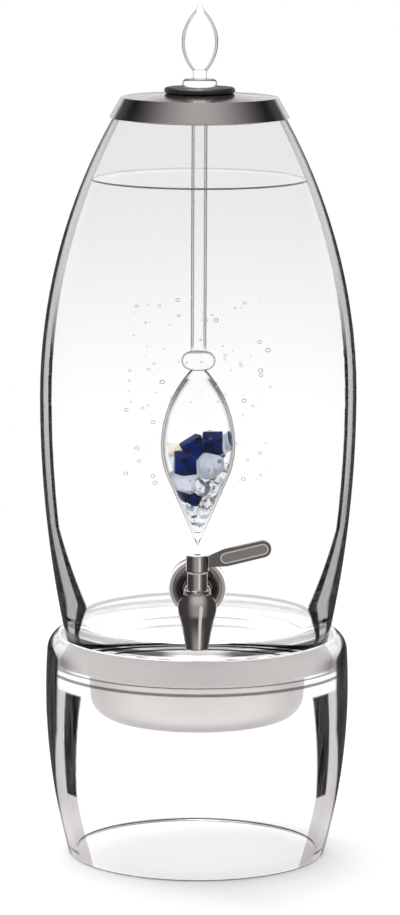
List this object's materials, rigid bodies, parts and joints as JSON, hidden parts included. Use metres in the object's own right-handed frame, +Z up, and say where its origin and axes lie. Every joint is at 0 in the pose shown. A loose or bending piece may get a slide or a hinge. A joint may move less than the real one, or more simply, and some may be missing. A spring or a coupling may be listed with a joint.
{
  "type": "water dispenser",
  "caption": "Glass water dispenser: egg-shaped vessel with a lever tap on a glass ring stand, with a metal lid that carries a glass wand holding stones.",
  "frame": {"origin": "centre of the stand's foot ring, on the surface it stands on", "axes": "+Z up; the tap faces -Y; the closed lever points to +X"},
  "size_m": [0.2216, 0.2512, 0.6],
  "materials": {
    "stand_glass": "clear polished",
    "vessel_glass": "clear polished",
    "wand_glass": "clear flame polished",
    "satin_steel": "fine satin",
    "tap_metal": "dark polished",
    "lid_metal": "dark satin polished",
    "plain_steel": "turned",
    "dark_steel": "dark",
    "gasket_rubber": "matt",
    "black_silicone": "satin",
    "pale_silicone": "translucent satin",
    "white_plastic": "smooth",
    "blue_stone": "polished stone",
    "pale_stone": "polished stone",
    "quartz": "rough crystal"
  },
  "bodies": {
    "stand": {"glass_stand": "stand_glass"},
    "dish": {"support_dish": "satin_steel"},
    "vessel": {"glass_vessel": "vessel_glass", "outer_gasket": "gasket_rubber", "tap_flange": "tap_metal", "tap_body": "tap_metal", "tap_shank": "plain_steel", "inner_gasket": "gasket_rubber", "inner_washer": "plain_steel", "lock_nut": "plain_steel", "valve_sleeve": "white_plastic", "bonnet_nut": "tap_metal", "stem_washer": "white_plastic"},
    "lever": {"valve_plug": "plain_steel", "stem_o_rings": "gasket_rubber", "lever_handle": "tap_metal", "hub_screw": "dark_steel"},
    "lid": {"lid_seal": "pale_silicone", "lid_cap": "lid_metal", "stopper": "black_silicone", "wand_glass": "wand_glass", "blue_stones": "blue_stone", "pale_stones": "pale_stone", "quartz_chips": "quartz"}
  },
  "joints": [
    {"name": "dish_lift", "type": "slide", "parent": "stand", "child": "dish", "axis": [0, 0, 1], "range_m": [0, 0.08]},
    {"name": "vessel_lift", "type": "slide", "parent": "dish", "child": "vessel", "axis": [0, 0, 1], "range_m": [0, 0.06]},
    {"name": "lever_turn", "type": "hinge", "parent": "vessel", "child": "lever", "pos_m": [0, -0.1271, 0.23], "axis": [0, 0, 1], "range_deg": [-90, 0]},
    {"name": "lid_lift", "type": "slide", "parent": "vessel", "child": "lid", "axis": [0, 0, 1], "range_m": [0, 0.33]}
  ]
}
